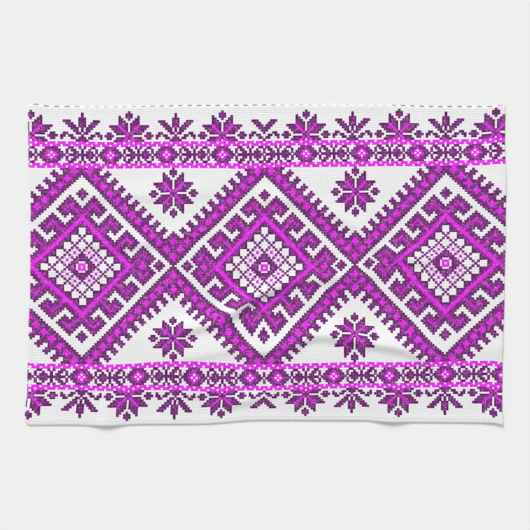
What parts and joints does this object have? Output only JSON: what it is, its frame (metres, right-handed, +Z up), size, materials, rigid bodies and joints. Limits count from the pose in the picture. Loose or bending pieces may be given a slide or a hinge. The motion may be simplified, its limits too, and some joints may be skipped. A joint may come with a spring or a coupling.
{
  "type": "tea towel",
  "caption": "Tea towel laid out flat with soft creases: a rectangle of printed waffle cloth with narrow sewn hems.",
  "frame": {"origin": "on the surface that the towel lies on, under the middle of its outline", "axes": "+X along the long side, +Y along the short side, +Z up, out of the printed face"},
  "size_m": [0.6162, 0.4127, 0.0098],
  "materials": {
    "printed_cloth": "matt waffle-woven cloth, bleached white with a purple and magenta print"
  },
  "bodies": {
    "root": {"tea_towel": "printed_cloth"}
  },
  "joints": []
}
